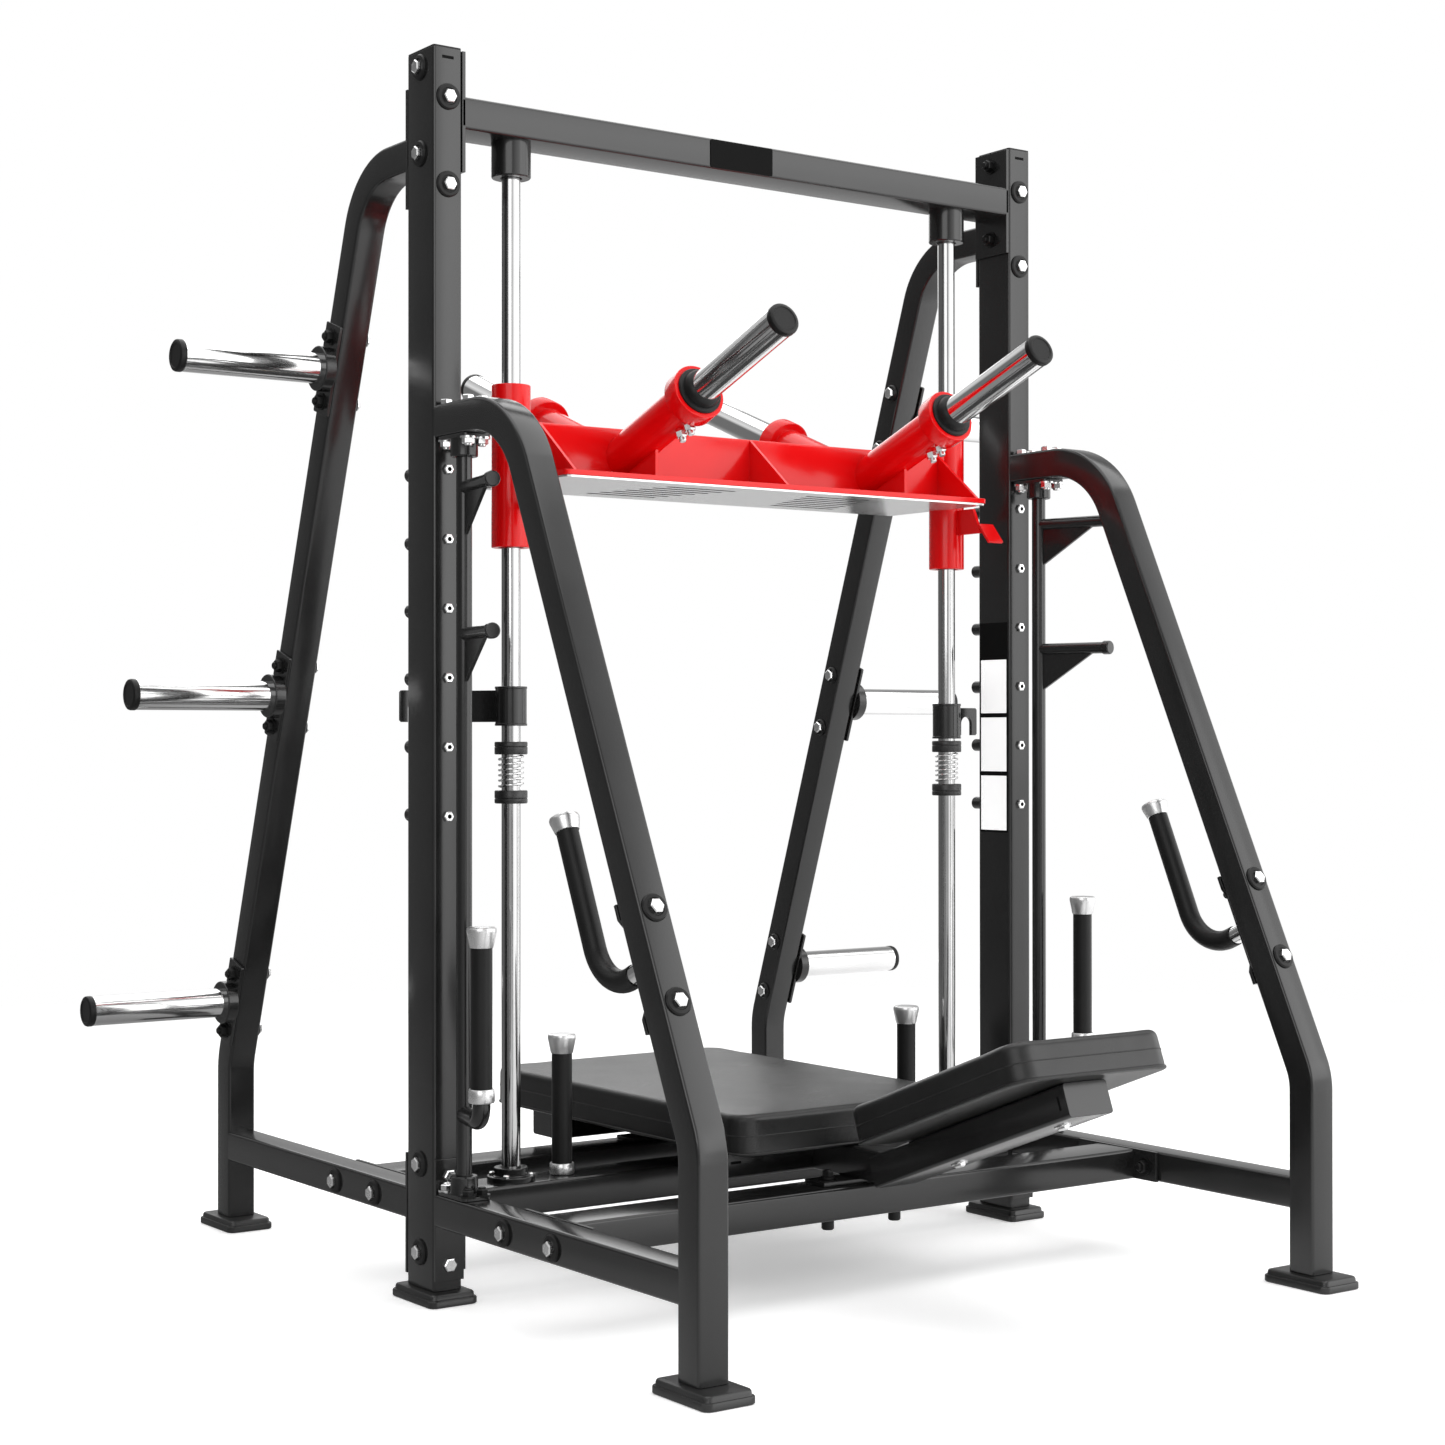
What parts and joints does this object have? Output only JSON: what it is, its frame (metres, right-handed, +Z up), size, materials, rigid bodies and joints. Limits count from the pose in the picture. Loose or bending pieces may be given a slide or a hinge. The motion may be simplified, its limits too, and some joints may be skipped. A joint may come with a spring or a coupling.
{
  "type": "smith machine",
  "caption": "Plate-loaded vertical leg press on smith-type guide rods, with floor bench, headrest, load horns, sprung stoppers and swing-in safety pegs.",
  "frame": {"origin": "on the floor, under the middle of the machine's bounding box; the two uprights stand at y = 0.0322 m", "axes": "+Z up, -Y towards the user's head end (front), +X to the right seen from the front"},
  "size_m": [1.764, 1.6364, 1.924],
  "materials": {
    "frame_paint": "satin black powder coat",
    "carriage_paint": "gloss red paint",
    "chrome": "polished",
    "rubber": "moulded matte rubber",
    "grip_rubber": "fine-textured rubber grip",
    "vinyl": "grained black upholstery vinyl",
    "steel": "bright zinc",
    "bronze": "sintered bushing",
    "satin_metal": "satin aluminium"
  },
  "bodies": {
    "frame": {"top_beam": "frame_paint", "front_cross_beam": "frame_paint", "middle_cross_beam": "frame_paint", "rear_cross_beam": "frame_paint", "bench_frame": "frame_paint", "flat_pad": "vinyl", "head_pad": "vinyl", "upright_left": "frame_paint", "upright_right": "frame_paint", "front_foot_left": "rubber", "front_foot_right": "rubber", "middle_foot_left": "rubber", "middle_foot_right": "rubber", "rear_foot_left": "rubber", "rear_foot_right": "rubber", "front_leg_left": "frame_paint", "front_leg_right": "frame_paint", "rear_leg_left": "frame_paint", "rear_leg_right": "frame_paint", "guide_rod_left": "chrome", "guide_rod_right": "chrome", "bumper_seat_left": "rubber", "bumper_seat_right": "rubber", "bumper_spring_left": "steel", "bumper_spring_right": "steel", "shaft_bottom_bearing_left": "frame_paint", "shaft_bottom_bearing_right": "frame_paint", "shaft_top_bearing_left": "frame_paint", "shaft_top_bearing_right": "frame_paint", "bench_grip_left": "grip_rubber", "bench_grip_right": "grip_rubber", "pull_handle_left": "grip_rubber", "pull_handle_right": "grip_rubber", "storage_horn_left_1": "chrome", "storage_horn_left_2": "chrome", "storage_horn_left_3": "chrome", "storage_horn_right_1": "chrome", "storage_horn_right_2": "chrome", "storage_horn_right_3": "chrome"},
    "carriage": {"carriage_frame": "carriage_paint", "tread_plate": "satin_metal", "carriage_bush_left": "bronze", "carriage_bush_right": "bronze", "catch_lug_left": "carriage_paint", "catch_lug_right": "carriage_paint", "load_horn_front_left": "chrome", "load_horn_front_right": "chrome", "load_horn_rear_left": "chrome", "load_horn_rear_right": "chrome"},
    "bumper_left": {"bumper_ring_left": "rubber"},
    "stopper_slide_left": {"stopper_bush_left": "bronze"},
    "stopper_left": {"stopper_hook_left": "frame_paint"},
    "safety_left": {"safety_shaft_left": "frame_paint", "safety_grip_left": "grip_rubber"},
    "bumper_right": {"bumper_ring_right": "rubber"},
    "stopper_slide_right": {"stopper_bush_right": "bronze"},
    "stopper_right": {"stopper_hook_right": "frame_paint"},
    "safety_right": {"safety_shaft_right": "frame_paint", "safety_grip_right": "grip_rubber"}
  },
  "joints": [
    {"name": "press", "type": "slide", "parent": "frame", "child": "carriage", "axis": [0, 0, 1], "range_m": [-0.217, 0.325]},
    {"name": "bumper_press_left", "type": "slide", "parent": "frame", "child": "bumper_left", "axis": [0, 0, 1], "range_m": [-0.035, 0], "stiffness_N_per_m": 8000, "deforming": ["bumper_spring_left"]},
    {"name": "stopper_lift_left", "type": "slide", "parent": "frame", "child": "stopper_slide_left", "axis": [0, 0, 1], "range_m": [-0.0245, 0.0055]},
    {"name": "stopper_turn_left", "type": "hinge", "parent": "stopper_slide_left", "child": "stopper_left", "pos_m": [-0.45, 0.03221, 0.9], "axis": [0, 0, -1], "range_deg": [-9.5, 60]},
    {"name": "safety_swing_left", "type": "hinge", "parent": "frame", "child": "safety_left", "pos_m": [-0.587, -0.05979, 0.75], "axis": [0, 0, 1], "range_deg": [0, 75]},
    {"name": "bumper_press_right", "type": "slide", "parent": "frame", "child": "bumper_right", "axis": [0, 0, 1], "range_m": [-0.035, 0], "stiffness_N_per_m": 8000, "deforming": ["bumper_spring_right"]},
    {"name": "stopper_lift_right", "type": "slide", "parent": "frame", "child": "stopper_slide_right", "axis": [0, 0, 1], "range_m": [-0.0035, 0.0265]},
    {"name": "stopper_turn_right", "type": "hinge", "parent": "stopper_slide_right", "child": "stopper_right", "pos_m": [0.45, 0.03221, 0.9], "axis": [0, 0, 1], "range_deg": [-9.5, 60]},
    {"name": "safety_swing_right", "type": "hinge", "parent": "frame", "child": "safety_right", "pos_m": [0.587, -0.05979, 0.75], "axis": [0, 0, -1], "range_deg": [0, 75]}
  ]
}
